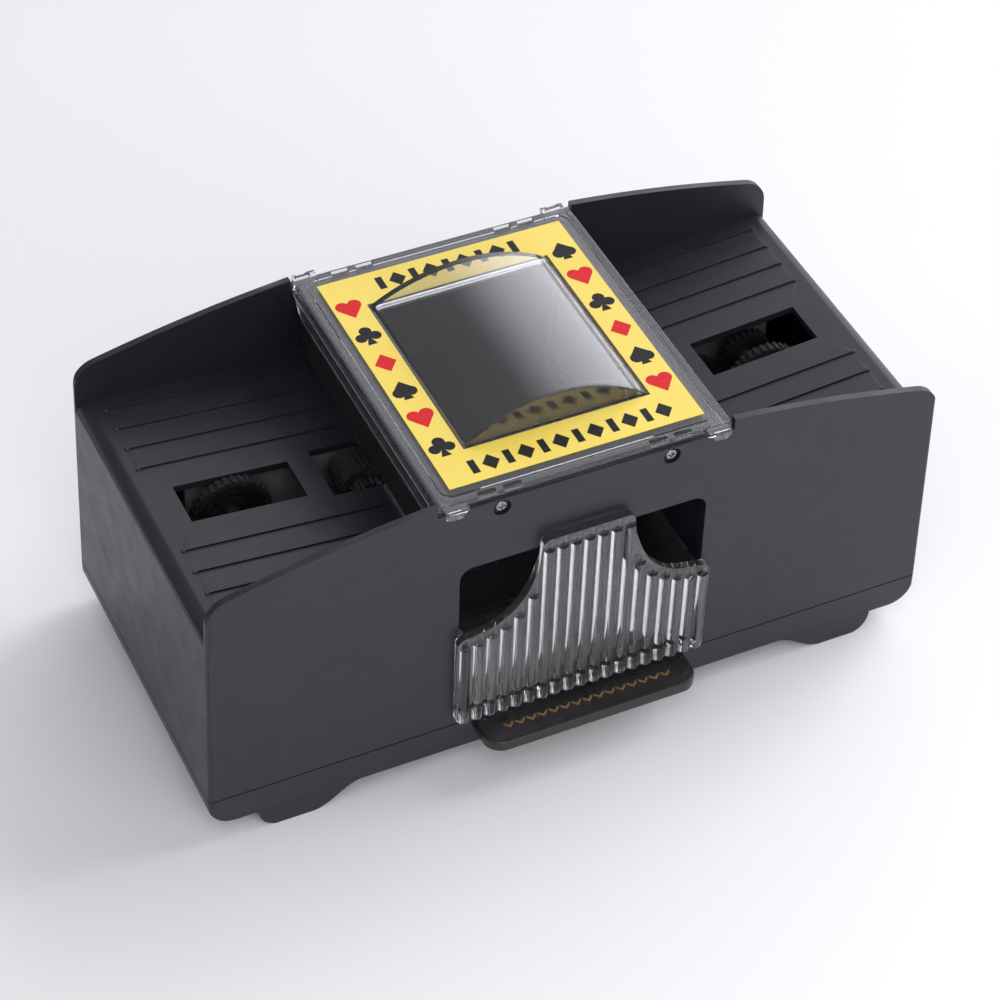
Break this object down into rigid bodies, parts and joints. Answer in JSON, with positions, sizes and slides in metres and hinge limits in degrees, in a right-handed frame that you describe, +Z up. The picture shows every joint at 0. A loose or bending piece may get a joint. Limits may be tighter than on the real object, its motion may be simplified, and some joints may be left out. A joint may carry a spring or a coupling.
{
  "type": "automatic card shuffler",
  "caption": "Battery card shuffler: two sloped card trays, ridged feed rollers, clear lift-off cover with a curved window, clear ribbed drawer and a press bar at the front.",
  "frame": {"origin": "on the floor plane under the centre of the whole object's bounding box", "axes": "+X to the right along the long side, +Y to the back, +Z up; the drawer and press bar face -Y"},
  "size_m": [0.203, 0.108, 0.1006],
  "materials": {
    "black_abs": "fine matte texture",
    "lever_black": "satin, slightly glossier than the case",
    "clear_ps": "clear, polished",
    "label_yellow": "printed sheet, semi-gloss",
    "rubber": "matt, ridged",
    "black_pom": "satin",
    "grey_pom": "satin",
    "white_nylon": "satin",
    "steel": "bright drawn",
    "screw_steel": "nickel plated",
    "motor_zinc": "zinc plated; stands in for a hollow steel can",
    "brass": "bright",
    "cell_jacket": "printed sleeve; stands in for a cell's mean density",
    "wire_red": "pvc sleeve",
    "wire_black": "pvc sleeve"
  },
  "bodies": {
    "case": {"upper_housing": "black_abs", "base": "black_abs", "gate_frame": "black_abs", "gate_screws": "screw_steel", "base_screws": "screw_steel", "lever_pin": "steel", "switch_leaf_lower": "brass", "switch_leaf_upper": "brass", "cells": "cell_jacket", "cell_springs": "steel", "cell_plates": "steel", "wire_battery": "wire_red", "wire_switch": "wire_red", "wire_link": "wire_red", "wire_return_left": "wire_black", "wire_return_right": "wire_black", "chassis_left": "grey_pom", "chassis_screws_left": "screw_steel", "motor_can_left": "motor_zinc", "motor_cap_left": "white_nylon", "motor_tabs_left": "brass", "motor_strap_left": "steel", "reduction_axle_left": "steel", "transfer_axle_left": "steel", "chassis_right": "grey_pom", "chassis_screws_right": "screw_steel", "motor_can_right": "motor_zinc", "motor_cap_right": "white_nylon", "motor_tabs_right": "brass", "motor_strap_right": "steel", "reduction_axle_right": "steel", "transfer_axle_right": "steel", "lever_spring": "steel"},
    "cover": {"top_cover": "clear_ps", "cover_label": "label_yellow"},
    "drawer": {"drawer": "clear_ps"},
    "lever": {"lever": "lever_black"},
    "battery_door": {"battery_door": "black_abs"},
    "motor_left": {"motor_shaft_left": "steel", "motor_pinion_left": "brass"},
    "reduction_left": {"reduction_gear_left": "black_pom"},
    "transfer_left": {"transfer_gear_left": "black_pom"},
    "feed_left": {"feed_core_left": "black_pom", "feed_tyre_left": "rubber", "feed_shaft_left": "steel"},
    "wheel_left": {"wheel_core_left": "black_pom", "wheel_tyre_left": "rubber", "wheel_shaft_left": "steel"},
    "motor_right": {"motor_shaft_right": "steel", "motor_pinion_right": "brass"},
    "reduction_right": {"reduction_gear_right": "black_pom"},
    "transfer_right": {"transfer_gear_right": "black_pom"},
    "feed_right": {"feed_core_right": "black_pom", "feed_tyre_right": "rubber", "feed_shaft_right": "steel"},
    "wheel_right": {"wheel_core_right": "black_pom", "wheel_tyre_right": "rubber", "wheel_shaft_right": "steel"}
  },
  "joints": [
    {"name": "cover_lift", "type": "slide", "parent": "case", "child": "cover", "axis": [0, 0, 1], "range_m": [0, 0.03]},
    {"name": "drawer_slide", "type": "slide", "parent": "case", "child": "drawer", "axis": [0, -1, 0], "range_m": [0, 0.09]},
    {"name": "lever_press", "type": "hinge", "parent": "case", "child": "lever", "pos_m": [0, -0.01045, 0.0139], "axis": [1, 0, 0], "range_deg": [0, 3], "stiffness_Nm_per_rad": 1.2, "springref_deg": -5.73, "deforming": ["lever_spring", "switch_leaf_upper"]},
    {"name": "door_hinge", "type": "hinge", "parent": "case", "child": "battery_door", "pos_m": [0.0438, 0.00555, 0.0069], "axis": [0, 1, 0], "range_deg": [0, 80]},
    {"name": "transfer_spin_left", "type": "hinge", "parent": "case", "child": "transfer_left", "pos_m": [-0.05458, 0.00555, 0.04944], "axis": [0, 1, 0], "continuous": true},
    {"name": "feed_spin_left", "type": "hinge", "parent": "case", "child": "feed_left", "pos_m": [-0.0413, 0.00555, 0.0633], "axis": [0, 1, 0], "continuous": true},
    {"name": "wheel_spin_left", "type": "hinge", "parent": "case", "child": "wheel_left", "pos_m": [-0.074, 0.00555, 0.0602], "axis": [0, 1, 0], "continuous": true},
    {"name": "reduction_spin_left", "type": "hinge", "parent": "case", "child": "reduction_left", "pos_m": [-0.07206, 0.00555, 0.04308], "axis": [0, 1, 0], "continuous": true},
    {"name": "motor_spin_left", "type": "hinge", "parent": "case", "child": "motor_left", "pos_m": [-0.05882, 0.00555, 0.03603], "axis": [0, 1, 0], "continuous": true},
    {"name": "transfer_spin_right", "type": "hinge", "parent": "case", "child": "transfer_right", "pos_m": [0.05458, 0.00555, 0.04944], "axis": [0, -1, 0], "continuous": true},
    {"name": "feed_spin_right", "type": "hinge", "parent": "case", "child": "feed_right", "pos_m": [0.0413, 0.00555, 0.0633], "axis": [0, -1, 0], "continuous": true},
    {"name": "wheel_spin_right", "type": "hinge", "parent": "case", "child": "wheel_right", "pos_m": [0.074, 0.00555, 0.0602], "axis": [0, -1, 0], "continuous": true},
    {"name": "reduction_spin_right", "type": "hinge", "parent": "case", "child": "reduction_right", "pos_m": [0.07206, 0.00555, 0.04308], "axis": [0, -1, 0], "continuous": true},
    {"name": "motor_spin_right", "type": "hinge", "parent": "case", "child": "motor_right", "pos_m": [0.05882, 0.00555, 0.03603], "axis": [0, -1, 0], "continuous": true}
  ],
  "couplings": [
    {"joint": "reduction_spin_left", "follows": "motor_spin_left", "ratio": -0.25},
    {"joint": "transfer_spin_left", "follows": "motor_spin_left", "ratio": 0.06},
    {"joint": "feed_spin_left", "follows": "motor_spin_left", "ratio": -0.21429},
    {"joint": "wheel_spin_left", "follows": "motor_spin_left", "ratio": -0.125},
    {"joint": "reduction_spin_right", "follows": "motor_spin_right", "ratio": -0.25},
    {"joint": "transfer_spin_right", "follows": "motor_spin_right", "ratio": 0.06},
    {"joint": "feed_spin_right", "follows": "motor_spin_right", "ratio": -0.21429},
    {"joint": "wheel_spin_right", "follows": "motor_spin_right", "ratio": -0.125}
  ]
}
